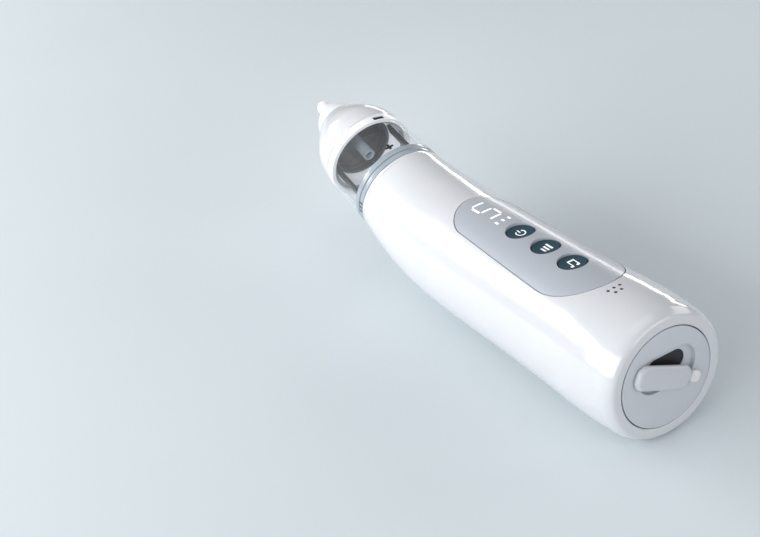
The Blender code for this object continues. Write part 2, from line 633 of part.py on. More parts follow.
def main():
    clear_scene()
    make_shell()
    make_lens()
    make_buttons()
    make_electronics()
    make_power_train()
    make_chassis()
    make_end_cap()
    make_flap()
    collar = make_neck()
    make_hose()
    cup = make_cup()
    cone = make_cone()
    tip = make_tip()
    ride_on(cup, collar)
    ride_on(cone, cup)
    ride_on(tip, cone)


main()
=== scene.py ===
"""The looks of the nasal aspirator: finer shells, clear cup, prints, materials, light and camera.

Sizes are in millimetres, and repeat the CAD's own: stations run along the centre line from the
butt face, radii are measured from it, and azimuths turn about it from the panel side to +X.
"""
import json
import math

import bmesh
import bpy
from mathutils import Matrix, Vector


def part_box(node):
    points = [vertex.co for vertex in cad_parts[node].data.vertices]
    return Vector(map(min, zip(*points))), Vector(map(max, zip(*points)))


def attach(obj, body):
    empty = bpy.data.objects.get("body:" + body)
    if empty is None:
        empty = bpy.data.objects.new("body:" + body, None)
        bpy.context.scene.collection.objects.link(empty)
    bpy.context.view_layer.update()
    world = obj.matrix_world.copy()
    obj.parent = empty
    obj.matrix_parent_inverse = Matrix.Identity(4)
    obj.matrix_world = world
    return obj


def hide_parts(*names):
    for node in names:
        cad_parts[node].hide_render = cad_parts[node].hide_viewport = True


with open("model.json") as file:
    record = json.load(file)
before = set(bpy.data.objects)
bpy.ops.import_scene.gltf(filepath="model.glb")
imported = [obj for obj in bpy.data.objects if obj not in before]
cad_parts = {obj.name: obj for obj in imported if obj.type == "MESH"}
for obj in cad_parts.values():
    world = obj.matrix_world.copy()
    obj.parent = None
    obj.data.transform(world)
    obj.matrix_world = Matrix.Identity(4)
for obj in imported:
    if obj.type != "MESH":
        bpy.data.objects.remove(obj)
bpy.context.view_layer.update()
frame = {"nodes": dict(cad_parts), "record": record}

MM = 0.001
GAP = 0.3

# The frame's driving places, in millimetres: stations run along the centre line from the butt face.
CAP_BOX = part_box("end_cap")
BUTT_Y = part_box("body_shell")[0][1] / MM
AXIS_HEIGHT = (CAP_BOX[0][2] + CAP_BOX[1][2]) / 2 / MM
BEND_START = 92.0
BEND_END = 128.0
BEND_ANGLE = math.radians(17.0)
BEND_RADIUS = (BEND_END - BEND_START) / BEND_ANGLE

FILLET_LENGTH = 5.0
BUTT_FACE_RADIUS = 17.8
SHELL_OUTLINE = [(FILLET_LENGTH, 20.35), (10.0, 20.8), (20.0, 20.95), (30.0, 20.6), (50.0, 20.2),
                 (90.0, 20.0), (110.0, 19.2), (122.0, 18.1), (133.5, 16.75)]
SHELL_WALL = 2.2
HEAD_STATION = 130.0
RING_BORE = 14.5
RING_RADIUS = 16.6
SEAL_RING = (133.8, 135.7)
COLLAR_RING = (136.0, 138.1)
CUP_START = 138.4
CUP_RIM = 153.9
LIP_START = 154.2
LIP_END = 157.2
SHELF = (160.4, 161.4)
PLUG_MOUTH = 160.2
PLUG_END = 168.0
TUBE_SPAN = (155.5, 178.0)
TUBE_RADII = (1.4, 2.1)
LEG_AZIMUTHS = (69.0, -111.0)
LEG_RADII = (11.15, 12.45)
LEG_SPAN = (140.4, 160.1)
LEG_WIDTH = 4.4
SLOT_AZIMUTH = 12.0
MARK_AZIMUTH = -8.0
MARK_RADII = (16.2, 16.52)
RIB_AZIMUTHS = (-84.0, -90.0, -96.0)
CONE_OUTLINE = [(157.5, 15.85), (161.0, 15.6), (165.0, 14.6), (168.6, 12.8), (172.2, 10.5), (174.6, 8.9)]
TIP_OUTLINE = [(174.9, 8.5), (176.5, 7.9), (178.5, 7.0), (180.5, 5.8), (182.5, 4.2), (184.6, 2.8)]
TIP_BALL_STATION = 186.2
TIP_BALL_RADIUS = 2.6

PANEL_START = 21.8
PANEL_END = 91.2
PANEL_NOSE_HALF_WIDTH = 10.9
PANEL_BUTT_HALF_WIDTH = 12.7
PANEL_BUTT_ROUND = 17.0
LENS_THICKNESS = 1.1
LENS_LEDGE = 2.0

BUTTONS = {"power": 64.0, "level": 51.5, "melody": 38.8}
BUTTON_RADIUS = 4.3
DISH_RADIUS = 4.0
DISH_DEPTH = 0.35
SPEAKER_HOLES = [(-3.1, 19.0), (-1.1, 19.0), (0.9, 19.0), (-2.1, 17.0), (-0.1, 17.0)]
KEY_FLANGE_RADIUS = 5.2
PRINT_LIFT = 0.03
PRINT_SINK = 0.06

RECESS_CENTRE = (0.2, 2.7)
RECESS_SIZE = (20.2, 11.6)
RECESS_DEPTH = 1.2
WELL_CENTRE = (0.6, 3.5)
WELL_SIZE = (13.2, 6.4)
WELL_FLOOR = 6.2
FLAP_PIVOT = (-7.6, 4.0)
FLAP_ANGLE = math.radians(-24.7)
FLAP_SIZE = (19.6, 7.4)
FLAP_BACK = 0.3
FLAP_FRONT = 2.1
FLAP_LEFT_REACH = 3.7


# ---------------------------------------------------------------- materials

class Nodes:
    """Small helper that builds one material's node tree."""

    def __init__(self, name):
        self.material = bpy.data.materials.new(name)
        self.material.use_nodes = True
        self.tree = self.material.node_tree
        self.shader = self.tree.nodes["Principled BSDF"]
        self.place = self.tree.nodes.new("ShaderNodeTexCoord").outputs["Object"]

    def put(self, **values):
        for name, value in values.items():
            self.shader.inputs[name.replace("_", " ")].default_value = value

    def noise(self, scale, detail=3.0, roughness=0.5, stretch=(1.0, 1.0, 1.0)):
        mapping = self.tree.nodes.new("ShaderNodeMapping")
        mapping.inputs["Scale"].default_value = stretch
        self.tree.links.new(self.place, mapping.inputs["Vector"])
        node = self.tree.nodes.new("ShaderNodeTexNoise")
        node.inputs["Scale"].default_value = scale
        node.inputs["Detail"].default_value = detail
        node.inputs["Roughness"].default_value = roughness
        self.tree.links.new(mapping.outputs["Vector"], node.inputs["Vector"])
        return node.outputs["Fac"]

    def ramp(self, factor, low, high, start=0.3, end=0.7):
        node = self.tree.nodes.new("ShaderNodeValToRGB")
        node.color_ramp.elements[0].position = start
        node.color_ramp.elements[0].color = (*low, 1.0)
        node.color_ramp.elements[1].position = end
        node.color_ramp.elements[1].color = (*high, 1.0)
        self.tree.links.new(factor, node.inputs["Fac"])
        return node.outputs["Color"]

    def span(self, factor, low, high):
        node = self.tree.nodes.new("ShaderNodeMapRange")
        node.inputs["From Min"].default_value = 0.3
        node.inputs["From Max"].default_value = 0.7
        node.inputs["To Min"].default_value = low
        node.inputs["To Max"].default_value = high
        self.tree.links.new(factor, node.inputs["Value"])
        return node.outputs["Result"]

    def bump(self, factor, strength, distance):
        node = self.tree.nodes.new("ShaderNodeBump")
        node.inputs["Strength"].default_value = strength
        node.inputs["Distance"].default_value = distance
        self.tree.links.new(factor, node.inputs["Height"])
        self.tree.links.new(node.outputs["Normal"], self.shader.inputs["Normal"])

    def link(self, output, name):
        self.tree.links.new(output, self.shader.inputs[name])


def moulded(name, colour, roughness, mottle=0.03, grain=0.0, coat=0.0, **values):
    """Moulded plastic or silicone: slightly mottled colour, uneven gloss and a fine surface grain."""
    nodes = Nodes(name)
    darker = tuple(channel * (1.0 - mottle) for channel in colour)
    lighter = tuple(min(channel * (1.0 + mottle), 1.0) for channel in colour)
    nodes.link(nodes.ramp(nodes.noise(120.0), darker, lighter), "Base Color")
    nodes.link(nodes.span(nodes.noise(260.0, 5.0), roughness * 0.94, roughness * 1.06), "Roughness")
    if grain:
        nodes.bump(nodes.noise(4200.0, 2.0), grain, 0.00004)
    nodes.put(Coat_Weight=coat, Coat_Roughness=0.05, **values)
    return nodes.material


def brushed_metal(name, colour, roughness):
    nodes = Nodes(name)
    streaks = nodes.noise(900.0, 4.0, 0.6, stretch=(1.0, 0.05, 1.0))
    nodes.link(nodes.ramp(streaks, tuple(c * 0.85 for c in colour), colour), "Base Color")
    nodes.link(nodes.span(streaks, roughness * 0.7, roughness * 1.3), "Roughness")
    nodes.put(Metallic=1.0)
    return nodes.material


def clear_material(name):
    """Polished clear plastic with faint flow marks: nearly unseen face on, whiter at its edges."""
    nodes = Nodes(name)
    nodes.link(nodes.ramp(nodes.noise(40.0), (0.90, 0.93, 0.95), (0.95, 0.97, 0.985)), "Base Color")
    nodes.link(nodes.span(nodes.noise(90.0), 0.03, 0.06), "Roughness")
    edge = nodes.tree.nodes.new("ShaderNodeLayerWeight")
    edge.inputs["Blend"].default_value = 0.35
    cover = nodes.tree.nodes.new("ShaderNodeMapRange")
    cover.inputs["From Min"].default_value = 0.55
    cover.inputs["To Min"].default_value = 0.035
    cover.inputs["To Max"].default_value = 0.60
    nodes.tree.links.new(edge.outputs["Facing"], cover.inputs["Value"])
    nodes.link(cover.outputs["Result"], "Alpha")
    nodes.put(IOR=1.49)
    return nodes.material


def glowing_print(name, colour, strength):
    """Print that gives off light, a little uneven: lit from behind on the display, a faint painted glow on
    the key icons.
    """
    nodes = Nodes(name)
    mottled = nodes.ramp(nodes.noise(300.0), tuple(channel * 0.93 for channel in colour), colour)
    nodes.link(mottled, "Base Color")
    nodes.link(mottled, "Emission Color")
    nodes.put(Roughness=0.5, Emission_Strength=strength)
    return nodes.material


def board_material(name):
    """Solder-masked board: green lacquer with lighter copper runs."""
    nodes = Nodes(name)
    brick = nodes.tree.nodes.new("ShaderNodeTexBrick")
    brick.inputs["Color1"].default_value = (0.010, 0.11, 0.05, 1.0)
    brick.inputs["Color2"].default_value = (0.014, 0.14, 0.065, 1.0)
    brick.inputs["Mortar"].default_value = (0.03, 0.24, 0.12, 1.0)
    brick.inputs["Scale"].default_value = 420.0
    brick.inputs["Mortar Size"].default_value = 0.035
    nodes.tree.links.new(nodes.place, brick.inputs["Vector"])
    nodes.link(brick.outputs["Color"], "Base Color")
    nodes.link(nodes.span(nodes.noise(500.0), 0.25, 0.40), "Roughness")
    return nodes.material


def make_materials():
    return {
        "white_plastic": moulded("white_abs", (0.62, 0.63, 0.66), 0.17, 0.008, 0.04, coat=0.5),
        # Lip band white with a painted glow: an even emission stands in for light passing through the thin
        # white plastic.
        "lip_white_painted_glow": moulded("lip_white_painted_glow", (0.66, 0.67, 0.70), 0.25, 0.008, 0.04,
                             Emission_Color=(0.90, 0.95, 1.0, 1.0), Emission_Strength=0.16),
        "panel_lens": moulded("panel_gray", (0.41, 0.435, 0.48), 0.30, 0.006, coat=0.15),
        "button_teal": moulded("button_teal", (0.030, 0.066, 0.086), 0.60, 0.06, 0.2,
                               Specular_IOR_Level=0.12),
        "cap_gray": moulded("cap_gray", (0.54, 0.56, 0.60), 0.34, 0.015, 0.25),
        "clear_plastic": clear_material("clear_cup"),
        "soft_white": moulded("white_silicone", (0.74, 0.74, 0.76), 0.40, 0.012, 0.12,
                              Subsurface_Weight=0.25, Subsurface_Radius=(0.004, 0.004, 0.004),
                              Subsurface_Scale=0.5),
        "smoke_ring": moulded("smoke_ring", (0.30, 0.345, 0.385), 0.22, 0.03, coat=0.4),
        "plug_gray": moulded("plug_gray", (0.040, 0.060, 0.070), 0.34, 0.08, 0.15),
        "leg_gray": moulded("leg_gray", (0.014, 0.018, 0.020), 0.42, 0.08, 0.15),
        "tube_gray": moulded("tube_gray", (0.27, 0.33, 0.38), 0.22, 0.04, coat=0.3),
        "dark_plastic": moulded("dark_plastic", (0.012, 0.012, 0.014), 0.45, 0.15, 0.3),
        "board_green": board_material("board_green"),
        "frame_plastic": moulded("frame_gray", (0.20, 0.21, 0.23), 0.48, 0.05, 0.4),
        "steel": brushed_metal("bright_metal", (0.62, 0.63, 0.65), 0.28),
        "battery_wrap": moulded("battery_wrap", (0.02, 0.09, 0.28), 0.30, 0.08, 0.1),
        "rubber": moulded("black_rubber", (0.018, 0.018, 0.018), 0.62, 0.15, 0.5),
        "filter_felt": moulded("filter_felt", (0.62, 0.62, 0.58), 0.90, 0.10, 0.9),
        # Key icon print with a faint painted glow that brightens it.
        "print_white_painted_glow": glowing_print("print_white_painted_glow", (0.95, 0.97, 0.98), 0.15),
        "lit_white": glowing_print("lit_white", (0.95, 0.97, 1.0), 0.35),
    }


# ---------------------------------------------------------------- curves and frames

def smooth_value(points, station):
    """A smooth curve through (station, value) points, read at one station."""
    last = len(points) - 1
    span = 0
    while span < last - 1 and station > points[span + 1][0]:
        span += 1

    def slope(index):
        before = points[max(index - 1, 0)]
        after = points[min(index + 1, last)]
        return (after[1] - before[1]) / (after[0] - before[0])

    start, end = points[span], points[span + 1]
    width = end[0] - start[0]
    t = (station - start[0]) / width
    return ((2 * t ** 3 - 3 * t ** 2 + 1) * start[1] + (t ** 3 - 2 * t ** 2 + t) * width * slope(span)
            + (3 * t ** 2 - 2 * t ** 3) * end[1] + (t ** 3 - t ** 2) * width * slope(span + 1))


def shell_radius(station):
    return smooth_value(SHELL_OUTLINE, max(station, FILLET_LENGTH))


def place(x, station, z):
    """World point, in metres, beside the straight part of the centre line."""
    return Vector((x, BUTT_Y + station, AXIS_HEIGHT + z)) * MM


def axis_frame(station):
    """Frame on the centre line: Z along it to the nose, Y to the panel side, X to -X."""
    turn = min(max((station - BEND_START) / BEND_RADIUS, 0.0), BEND_ANGLE)
    along = min(station, BEND_START) + BEND_RADIUS * math.sin(turn)
    height = BEND_RADIUS * (1.0 - math.cos(turn))
    beyond = max(station - BEND_END, 0.0)
    matrix = Matrix(((-1.0, 0.0, 0.0), (0.0, -math.sin(turn), math.cos(turn)),
                     (0.0, math.cos(turn), math.sin(turn)))).to_4x4()
    matrix.translation = place(0.0, along + beyond * math.cos(turn), height + beyond * math.sin(turn))
    return matrix


def butt_frame():
    """Frame on the butt face: X right and Y up as seen from behind, Z out towards the viewer."""
    matrix = Matrix(((1.0, 0.0, 0.0), (0.0, 0.0, -1.0), (0.0, 1.0, 0.0))).to_4x4()
    matrix.translation = place(0.0, 0.0, 0.0)
    return matrix


# ---------------------------------------------------------------- mesh building

def finish_mesh(bm, name, surface, matrix=None, sharp=35.0):
    """Make an object at the origin from a mesh in millimetres in the given frame."""
    bmesh.ops.recalc_face_normals(bm, faces=bm.faces)
    bmesh.ops.scale(bm, vec=(MM, MM, MM), verts=bm.verts)
    if matrix is not None:
        bmesh.ops.transform(bm, matrix=matrix, verts=bm.verts)
    mesh = bpy.data.meshes.new(name)
    bm.to_mesh(mesh)
    bm.free()
    mesh.materials.append(surface)
    mesh.shade_smooth()
    mesh.set_sharp_from_angle(angle=math.radians(sharp))
    made = bpy.data.objects.new(name, mesh)
    bpy.context.collection.objects.link(made)
    return made


def add_rings(bm, rings):
    """Faces between point rings that follow each other around a closed section."""
    loops = [[bm.verts.new(spot) for spot in ring] for ring in rings]
    count = max(len(loop) for loop in loops)
    for lower, upper in zip(loops, loops[1:] + loops[:1]):
        for index in range(count):
            following = (index + 1) % count
            corners = [lower[index % len(lower)], lower[following % len(lower)],
                       upper[following % len(upper)], upper[index % len(upper)]]
            corners = list(dict.fromkeys(corners))
            if len(corners) > 2:
                bm.faces.new(corners)


def circle(radius, height, sides):
    if radius == 0.0:
        return [Vector((0.0, 0.0, height))]
    return [Vector((radius * math.cos(2 * math.pi * index / sides),
                    radius * math.sin(2 * math.pi * index / sides), height))
            for index in range(sides)]


def rounded(outline, radius, steps=4):
    """The closed outline with every real corner turned into a small arc."""
    result = []
    count = len(outline)
    for index, corner in enumerate(outline):
        here = Vector(corner)
        before = Vector(outline[index - 1]) - here
        after = Vector(outline[(index + 1) % count]) - here
        if here.x == 0.0 or before.angle(after) > math.radians(155.0):
            result.append(tuple(here))
            continue
        reach = min(radius / math.tan(before.angle(after) / 2), 0.45 * before.length,
                    0.45 * after.length)
        start = here + before.normalized() * reach
        end = here + after.normalized() * reach
        for step in range(steps + 1):
            t = step / steps
            result.append(tuple(start * (1 - t) ** 2 + here * 2 * t * (1 - t) + end * t * t))
    return result


def turned(name, outline, surface, sides=128, matrix=None, soften=0.0):
    """Turn a closed outline of (radius, station) points about the head's or another axis."""
    if soften:
        outline = rounded(outline, soften)
    if matrix is None:
        matrix = axis_frame(HEAD_STATION)
        outline = [(radius, station - HEAD_STATION) for radius, station in outline]
    bm = bmesh.new()
    add_rings(bm, [circle(radius, height, sides) for radius, height in outline])
    return finish_mesh(bm, name, surface, matrix)


def swept(name, outline, surface, sides):
    """Carry a closed outline of (radius, station) points along the bent centre line."""
    bm = bmesh.new()
    base = axis_frame(0.0)
    rings = []
    for radius, station in outline:
        local = base.inverted() @ axis_frame(station)
        local.translation /= MM
        rings.append([local @ spot for spot in circle(radius, 0.0, sides)])
    add_rings(bm, rings)
    return finish_mesh(bm, name, surface, base)


def stadium(size, centre=(0.0, 0.0), arc=24):
    radius = size[1] / 2
    reach = size[0] / 2 - radius
    points = []
    for side, start in ((1.0, -90.0), (-1.0, 90.0)):
        for step in range(arc + 1):
            angle = math.radians(start + 180.0 * step / arc)
            points.append((centre[0] + side * reach + radius * math.cos(angle),
                           centre[1] + radius * math.sin(angle)))
    return points


def rounded_rectangle(size, corner, centre=(0.0, 0.0), arc=10):
    points = []
    for index, (sign_x, sign_y) in enumerate(((1, 1), (-1, 1), (-1, -1), (1, -1))):
        for step in range(arc + 1):
            angle = math.radians(90.0 * (index + step / arc))
            points.append((centre[0] + sign_x * (size[0] / 2 - corner) + corner * math.cos(angle),
                           centre[1] + sign_y * (size[1] / 2 - corner) + corner * math.sin(angle)))
    return points


def stacked(name, levels, surface, matrix):
    """A closed solid through flat outlines at rising heights: [(outline, height), ...]."""
    bm = bmesh.new()
    rings = [[Vector((x, y, height)) for x, y in outline] for outline, height in levels]
    ends = []
    for ring in (rings[0], rings[-1]):
        ends.append([sum(ring, Vector()) / len(ring)])
    add_rings(bm, [ends[0], *rings, ends[1]])
    return finish_mesh(bm, name, surface, matrix)


def boolean(target, tool, operation="DIFFERENCE"):
    """Apply one exact Boolean and drop the tool."""
    modifier = target.modifiers.new("cut", "BOOLEAN")
    modifier.operation = operation
    modifier.solver = "EXACT"
    modifier.object = tool
    bpy.context.view_layer.update()
    graph = bpy.context.evaluated_depsgraph_get()
    result = bpy.data.meshes.new_from_object(target.evaluated_get(graph))
    target.modifiers.clear()
    target.data = result
    bpy.data.objects.remove(tool, do_unlink=True)
    result.shade_smooth()
    result.set_sharp_from_angle(angle=math.radians(35.0))


def soften_edges(target, width):
    """Round every sharp edge by a small width."""
    modifier = target.modifiers.new("edge", "BEVEL")
    modifier.limit_method = "ANGLE"
    modifier.angle_limit = math.radians(40.0)
    modifier.width = width * MM
    modifier.segments = 3
    modifier.harden_normals = False


# ---------------------------------------------------------------- handle

def panel_outline(margin, steps=48):
    points = []
    for step in range(steps + 1):
        angle = math.pi * step / steps
        points.append((math.cos(angle) * (PANEL_NOSE_HALF_WIDTH + margin),
                       PANEL_END - PANEL_NOSE_HALF_WIDTH
                       + math.sin(angle) * (PANEL_NOSE_HALF_WIDTH + margin)))
    for step in range(steps + 1):
        angle = math.pi + math.pi * step / steps
        points.append((math.cos(angle) * (PANEL_BUTT_HALF_WIDTH + margin),
                       PANEL_START + PANEL_BUTT_ROUND + math.sin(angle) * (PANEL_BUTT_ROUND + margin)))
    return points


def panel_prism(margin, surface):
    matrix = Matrix.Translation(place(0.0, 0.0, 0.0))
    outline = panel_outline(margin)
    return stacked("panel_cutter", [(outline, 9.0), (outline, 24.0)], surface, matrix)


def panel_band(name, inner_drop, outer_rise, surface):
    stations = [15.0 + 2.0 * step for step in range(42)]
    outer = [(shell_radius(station) + outer_rise, station) for station in stations]
    inner = [(shell_radius(station) - inner_drop, station) for station in reversed(stations)]
    return swept(name, outer + inner, surface, 160)


def make_shell(paints):
    white = paints["white_plastic"]
    outer = []
    for step in range(13):
        angle = math.radians(90.0 * step / 12)
        outer.append((BUTT_FACE_RADIUS + (SHELL_OUTLINE[0][1] - BUTT_FACE_RADIUS) * math.sin(angle),
                      FILLET_LENGTH * (1.0 - math.cos(angle))))
    groove = 131.9
    stations = [6.5 + 1.5 * step for step in range(83)]
    outer += [(shell_radius(station), station) for station in stations]
    outer += [(shell_radius(groove) + 0.01, groove - 0.12), (shell_radius(groove) - 0.18, groove),
              (shell_radius(groove), groove + 0.12), (shell_radius(133.2), 133.1),
              (shell_radius(133.5) - 0.12, 133.4), (shell_radius(133.5) - 0.4, 133.5)]
    inner_stations = [133.5, 129.0, 124.0, 119.0, 114.0, 109.0, 104.0, 99.0, 94.0, 86.0, 60.0, 30.0, 8.0]
    inner = [(shell_radius(station) - SHELL_WALL, station) for station in inner_stations]
    rim = [(15.7, 4.0), (15.7, 0.25), (15.95, 0.0)]
    shell = swept("shell_skin", outer + inner + rim, white, 160)
    pocket = panel_band("pocket_cutter", LENS_THICKNESS + GAP, 1.0, white)
    boolean(pocket, panel_prism(GAP, white), "INTERSECT")
    boolean(shell, pocket)
    boolean(shell, panel_prism(-LENS_LEDGE, white))
    bm = bmesh.new()
    for x, station in SPEAKER_HOLES:
        spot = Vector((x, station, 0.0))
        rings = [[spot + point for point in circle(0.55, height, 24)] for height in (10.0, 24.0)]
        add_rings(bm, [[spot + Vector((0.0, 0.0, 10.0))], *rings, [spot + Vector((0.0, 0.0, 24.0))]])
    boolean(shell, finish_mesh(bm, "holes", white, Matrix.Translation(place(0.0, 0.0, 0.0))))
    bm = bmesh.new()
    bmesh.ops.create_cube(bm, size=1.0)
    bmesh.ops.scale(bm, vec=(30.0, 160.0, 10.0), verts=bm.verts)
    boolean(shell, finish_mesh(bm, "land", white,
                               Matrix.Translation(place(0.0, 70.0, -AXIS_HEIGHT - 5.0))))
    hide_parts("body_shell")
    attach(shell, "handle")


def make_lens(paints):
    lens = panel_band("lens_plate", LENS_THICKNESS, 0.0, paints["panel_lens"])
    boolean(lens, panel_prism(0.0, paints["panel_lens"]), "INTERSECT")
    for station in BUTTONS.values():
        hole = turned("hole", [(0.0, 10.0), (BUTTON_RADIUS + GAP, 10.0), (BUTTON_RADIUS + GAP, 24.0),
                               (0.0, 24.0)], paints["panel_lens"], 64,
                      Matrix.Translation(place(0.0, station, 0.0)))
        boolean(lens, hole)
    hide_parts("panel_lens")
    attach(lens, "handle")


# ---------------------------------------------------------------- prints on the panel and buttons

def add_ribbon(bm, path, width, surface):
    """A thin raised strip along a path of (x, station) points on a surface height function."""
    left, right = [], []
    for index, spot in enumerate(path):
        ahead = Vector(path[min(index + 1, len(path) - 1)]) - Vector(path[max(index - 1, 0)])
        side = Vector((-ahead.y, ahead.x)).normalized() * width / 2
        left.append(Vector(spot) + side)
        right.append(Vector(spot) - side)
    outline = left + right[::-1]
    count = len(path)
    top = [bm.verts.new((p.x, p.y, surface(p.x, p.y) + PRINT_LIFT)) for p in outline]
    low = [bm.verts.new((p.x, p.y, surface(p.x, p.y) - PRINT_SINK)) for p in outline]
    total = len(outline)
    for index in range(count - 1):
        opposite = total - 1 - index
        bm.faces.new((top[index], top[index + 1], top[opposite - 1], top[opposite]))
        bm.faces.new((low[index], low[opposite], low[opposite - 1], low[index + 1]))
    for index in range(total):
        following = (index + 1) % total
        bm.faces.new((top[index], low[index], low[following], top[following]))


def add_spot(bm, centre, radii, surface, sides=20):
    """A thin raised oval print."""
    rims = []
    for height in (PRINT_LIFT, -PRINT_SINK):
        rim = []
        for index in range(sides):
            angle = 2 * math.pi * index / sides
            x = centre[0] + radii[0] * math.cos(angle)
            y = centre[1] + radii[1] * math.sin(angle)
            rim.append(bm.verts.new((x, y, surface(x, y) + height)))
        rims.append(rim)
    bm.faces.new(rims[0])
    bm.faces.new(rims[1][::-1])
    for index in range(sides):
        following = (index + 1) % sides
        bm.faces.new((rims[0][index], rims[1][index], rims[1][following], rims[0][following]))


def straight(start, end, steps=8):
    return [tuple(Vector(start).lerp(Vector(end), step / steps)) for step in range(steps + 1)]


def lens_height(x, station):
    return math.sqrt(shell_radius(station) ** 2 - x ** 2)


def make_digit(paints):
    """The lit figure on the display, with a row of three dashes under it."""
    bm = bmesh.new()
    left, right = -2.6, 2.1
    for start, end in (((left + 0.5, 86.2), (right - 0.1, 86.2)), ((left, 85.6), (left, 81.8)),
                       ((left + 0.5, 81.2), (right - 0.5, 81.2)), ((right, 80.6), (right, 76.8)),
                       ((left + 0.3, 76.2), (right - 0.5, 76.2))):
        add_ribbon(bm, straight(start, end), 0.75, lens_height)
    for x in (-2.5, -0.2, 2.1):
        add_ribbon(bm, straight((x, 73.4), (x, 71.9)), 0.75, lens_height)
    digit = finish_mesh(bm, "display_figure", paints["lit_white"],
                        Matrix.Translation(place(0.0, 0.0, 0.0)))
    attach(digit, "handle")


def button_rim(station):
    return math.sqrt(shell_radius(station) ** 2 - BUTTON_RADIUS ** 2) - 0.2


def add_power_icon(bm, height):
    ring = []
    for step in range(33):
        angle = math.radians(90.0 + 38.0 + (360.0 - 76.0) * step / 32)
        ring.append((1.45 * math.cos(angle), 1.45 * math.sin(angle) - 0.1))
    add_ribbon(bm, ring, 0.42, height)
    add_ribbon(bm, straight((0.0, 0.15), (0.0, 1.75), 4), 0.42, height)


def add_level_icon(bm, height):
    for x, length in ((-1.25, 2.3), (0.0, 2.8), (1.25, 3.3)):
        add_ribbon(bm, straight((x, -1.65), (x, -1.65 + length), 4), 0.66, height)


def add_melody_icon(bm, height):
    for x in (-0.7, 1.35):
        add_ribbon(bm, straight((x, -1.3), (x, 1.5), 4), 0.36, height)
        add_spot(bm, (x - 0.45, -1.35), (0.60, 0.48), height)
    add_ribbon(bm, straight((-0.88, 1.5), (1.53, 1.5), 4), 0.62, height)


def make_buttons(paints):
    icons = {"power": add_power_icon, "level": add_level_icon, "melody": add_melody_icon}
    for name, station in BUTTONS.items():
        rim = button_rim(station)
        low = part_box("button_" + name)[0][2] / MM - AXIS_HEIGHT
        flange = math.sqrt((shell_radius(station) - LENS_THICKNESS) ** 2 - KEY_FLANGE_RADIUS ** 2) - 0.4
        outline = [(0.0, low), (1.4, low), (1.4, flange - 0.8), (KEY_FLANGE_RADIUS, flange - 0.8),
                   (KEY_FLANGE_RADIUS, flange), (BUTTON_RADIUS, flange), (BUTTON_RADIUS, rim - 0.3)]
        for step in range(1, 6):
            angle = math.radians(90.0 * step / 5)
            outline.append((BUTTON_RADIUS - 0.3 * (1.0 - math.cos(angle)),
                            rim - 0.3 * (1.0 - math.sin(angle))))
        for step in range(1, 13):
            reach = 1.0 - step / 12
            outline.append((DISH_RADIUS * reach, rim - DISH_DEPTH * (1.0 - reach ** 2)))
        matrix = Matrix.Translation(place(0.0, station, 0.0))
        button = turned("key_" + name, outline, paints["button_teal"], 96, matrix)
        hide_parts("button_" + name)
        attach(button, name + "_key")

        def height(x, y, rim=rim):
            return rim - DISH_DEPTH * (1.0 - (x * x + y * y) / DISH_RADIUS ** 2)

        bm = bmesh.new()
        icons[name](bm, height)
        # The icons' print carries a faint painted glow.
        icon = finish_mesh(bm, "icon_" + name, paints["print_white_painted_glow"], matrix)
        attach(icon, name + "_key")


# ---------------------------------------------------------------- butt end

def make_speaker_shade(paints):
    """Painted shade in the speaker holes: a dark disc under them and a dark plug just inside each hole, so
    the holes read dark.
    """
    matrix = Matrix.Translation(place(-0.9, 18.2, 0.0))
    # Dark disc under the holes: painted shade seen through them.
    disc = turned("speaker_hole_shade_disc", [(0.0, 16.4), (3.6, 16.4), (3.6, 16.6), (0.0, 16.6)],
                  paints["dark_plastic"], 48, matrix)
    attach(disc, "handle")
    for number, (x, station) in enumerate(SPEAKER_HOLES, 1):
        # A dark plug just below each hole's mouth: painted shade in the hole.
        top = lens_height(x, station) - 0.22
        outline = [(0.0, top - 1.4), (0.52, top - 1.4), (0.52, top), (0.0, top)]
        plug = turned(f"speaker_hole_shade_plug_{number}", outline, paints["dark_plastic"], 24,
                      Matrix.Translation(place(x, station, 0.0)))
        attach(plug, "handle")


def make_end_cap(paints):
    gray = paints["cap_gray"]
    out = butt_frame()
    skirt = [(0.0, 0.0), (15.4, 0.0), (15.4, -2.6), (15.2, -2.6), (15.2, -6.6), (13.8, -6.6),
             (13.8, -2.6), (0.0, -2.6)]
    cap = turned("cap_disc", rounded(skirt, 0.2, 3), gray, 160, out)
    wall = rounded_rectangle((17.2, 10.0), 2.0, WELL_CENTRE)
    boolean(cap, stacked("wall", [(wall, -7.2), (wall, -1.8)], gray, out), "UNION")
    recess = stadium(RECESS_SIZE, RECESS_CENTRE)
    boolean(cap, stacked("recess", [(recess, -RECESS_DEPTH), (recess, 1.0)], gray, out))
    well = stadium(WELL_SIZE, WELL_CENTRE)
    boolean(cap, stacked("well", [(well, -WELL_FLOOR), (well, 1.0)], gray, out))
    socket = stadium((9.6, 3.9), WELL_CENTRE)
    boolean(cap, stacked("socket", [(socket, -8.0), (socket, -5.0)], gray, out))
    soften_edges(cap, 0.25)
    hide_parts("end_cap")
    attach(cap, "handle")
    lining = stacked("well_lining", [(stadium((13.1, 6.3), WELL_CENTRE), -1.5),
                                     (stadium((12.7, 5.9), WELL_CENTRE), -1.5),
                                     (stadium((12.7, 5.9), WELL_CENTRE), -6.0),
                                     (stadium((9.5, 3.8), WELL_CENTRE), -6.0),
                                     (stadium((9.5, 3.8), WELL_CENTRE), -6.15),
                                     (stadium((13.1, 6.3), WELL_CENTRE), -6.15)],
                     paints["dark_plastic"], out)
    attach(lining, "handle")


